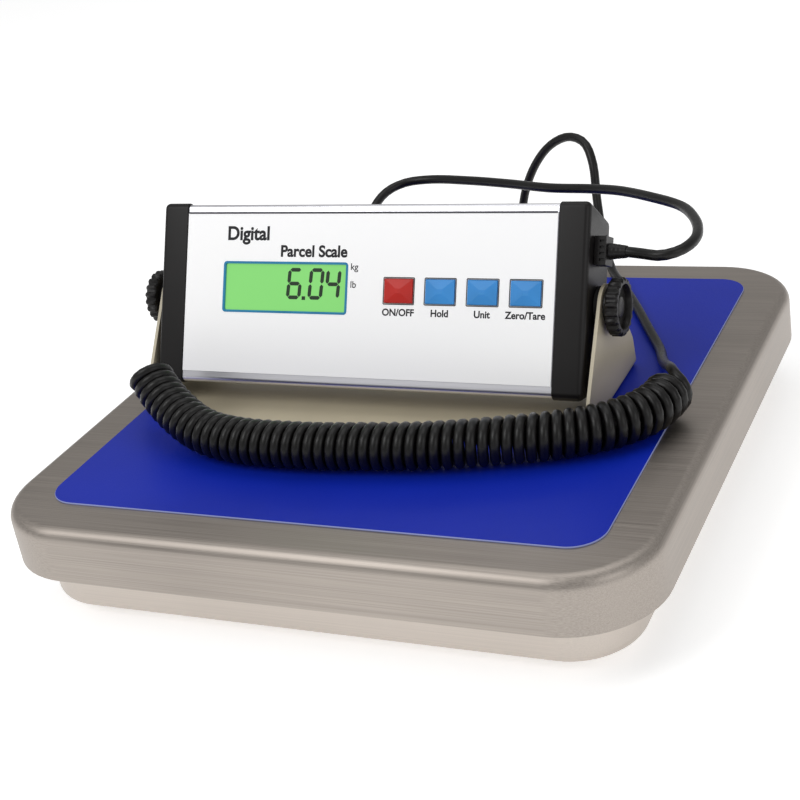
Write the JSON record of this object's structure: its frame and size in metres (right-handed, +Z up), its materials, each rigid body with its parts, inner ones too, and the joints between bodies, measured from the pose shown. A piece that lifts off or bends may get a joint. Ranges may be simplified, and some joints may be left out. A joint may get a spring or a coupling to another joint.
{
  "type": "platform shipping scale",
  "caption": "Low square steel weighing platform with a blue mat and a tilting display indicator on a bent sheet stand, joined to it by a curly cord.",
  "frame": {"origin": "on the table, under the middle of the square platform", "axes": "+X to the right of the person reading the display, +Y away from that person, +Z up"},
  "size_m": [0.305, 0.3411, 0.1443],
  "materials": {
    "stainless": "brushed stainless steel, lines along X",
    "pan_steel": "mill-finish stainless steel",
    "plain_steel": "plated steel",
    "bolt_steel": "zinc-plated steel",
    "aluminium": "satin anodised",
    "blue_vinyl": "satin vinyl",
    "cream_paint": "satin powder coat",
    "black_plastic": "fine grain",
    "rubber": "matte",
    "face_white": "satin printed label",
    "window_green": "clear window over a lit green display",
    "board_green": "solder mask",
    "button_red": "satin",
    "button_blue": "satin",
    "battery_jacket": "printed jacket",
    "cord_black": "satin"
  },
  "bodies": {
    "base": {"base_pan": "pan_steel", "lower_spider": "plain_steel", "load_cell": "aluminium", "load_cell_base_bolt_1": "bolt_steel", "load_cell_base_bolt_2": "bolt_steel", "base_gland": "black_plastic", "foot_front_left": "rubber", "foot_front_right": "rubber", "foot_rear_right": "rubber", "foot_rear_left": "rubber", "overload_stop_front_left": "bolt_steel", "overload_stop_front_right": "bolt_steel", "overload_stop_rear_right": "bolt_steel", "overload_stop_rear_left": "bolt_steel"},
    "platform": {"platform_cover": "stainless", "platform_mat": "blue_vinyl", "upper_spider": "plain_steel", "load_cell_top_bolt_1": "bolt_steel", "load_cell_top_bolt_2": "bolt_steel", "bracket": "cream_paint", "cord_lead": "cord_black", "cord_coil": "cord_black", "cord_tail": "cord_black", "support_pad_front_left": "rubber", "support_pad_front_right": "rubber", "support_pad_rear_right": "rubber", "support_pad_rear_left": "rubber"},
    "indicator": {"housing_shell": "aluminium", "face_label": "face_white", "display_window": "window_green", "display_module": "board_green", "circuit_board": "board_green", "battery_holder": "black_plastic", "battery_1": "battery_jacket", "battery_2": "battery_jacket", "battery_3": "battery_jacket", "battery_4": "battery_jacket", "battery_cover": "black_plastic", "indicator_gland": "black_plastic", "end_cap_left": "black_plastic", "friction_washer_left": "rubber", "cap_screw_left_bottom": "bolt_steel", "cap_screw_left_top": "bolt_steel", "end_cap_right": "black_plastic", "friction_washer_right": "rubber", "cap_screw_right_bottom": "bolt_steel", "cap_screw_right_top": "bolt_steel", "switch_power": "black_plastic", "switch_hold": "black_plastic", "switch_unit": "black_plastic", "switch_zero": "black_plastic"},
    "power_button": {"button_power": "button_red"},
    "hold_button": {"button_hold": "button_blue"},
    "unit_button": {"button_unit": "button_blue"},
    "zero_button": {"button_zero": "button_blue"},
    "left_knob": {"knob_left": "black_plastic", "knob_stud_left": "bolt_steel"},
    "right_knob": {"knob_right": "black_plastic", "knob_stud_right": "bolt_steel"}
  },
  "joints": [
    {"name": "platform_travel", "type": "slide", "parent": "base", "child": "platform", "axis": [0, 0, 1], "range_m": [-0.001, 0], "stiffness_N_per_m": 20000, "springref_m": 0.0045, "deforming": ["load_cell", "cord_tail"]},
    {"name": "indicator_tilt", "type": "hinge", "parent": "platform", "child": "indicator", "pos_m": [-0.013, -0.003, 0.0978], "axis": [1, 0, 0], "range_deg": [-60, 18], "deforming": ["cord_lead"]},
    {"name": "power_press", "type": "slide", "parent": "indicator", "child": "power_button", "axis": [0, 0.8878, -0.4602], "range_m": [0, 0.0006], "stiffness_N_per_m": 1500, "springref_m": -0.0004},
    {"name": "hold_press", "type": "slide", "parent": "indicator", "child": "hold_button", "axis": [0, 0.8878, -0.4602], "range_m": [0, 0.0006], "stiffness_N_per_m": 1500, "springref_m": -0.0004},
    {"name": "unit_press", "type": "slide", "parent": "indicator", "child": "unit_button", "axis": [0, 0.8878, -0.4602], "range_m": [0, 0.0006], "stiffness_N_per_m": 1500, "springref_m": -0.0004},
    {"name": "zero_press", "type": "slide", "parent": "indicator", "child": "zero_button", "axis": [0, 0.8878, -0.4602], "range_m": [0, 0.0006], "stiffness_N_per_m": 1500, "springref_m": -0.0004},
    {"name": "left_knob_turn", "type": "hinge", "parent": "indicator", "child": "left_knob", "pos_m": [-0.13, -0.003, 0.0978], "axis": [-1, 0, 0], "range_deg": [0, 720]},
    {"name": "right_knob_turn", "type": "hinge", "parent": "indicator", "child": "right_knob", "pos_m": [0.104, -0.003, 0.0978], "axis": [1, 0, 0], "range_deg": [0, 720]}
  ]
}
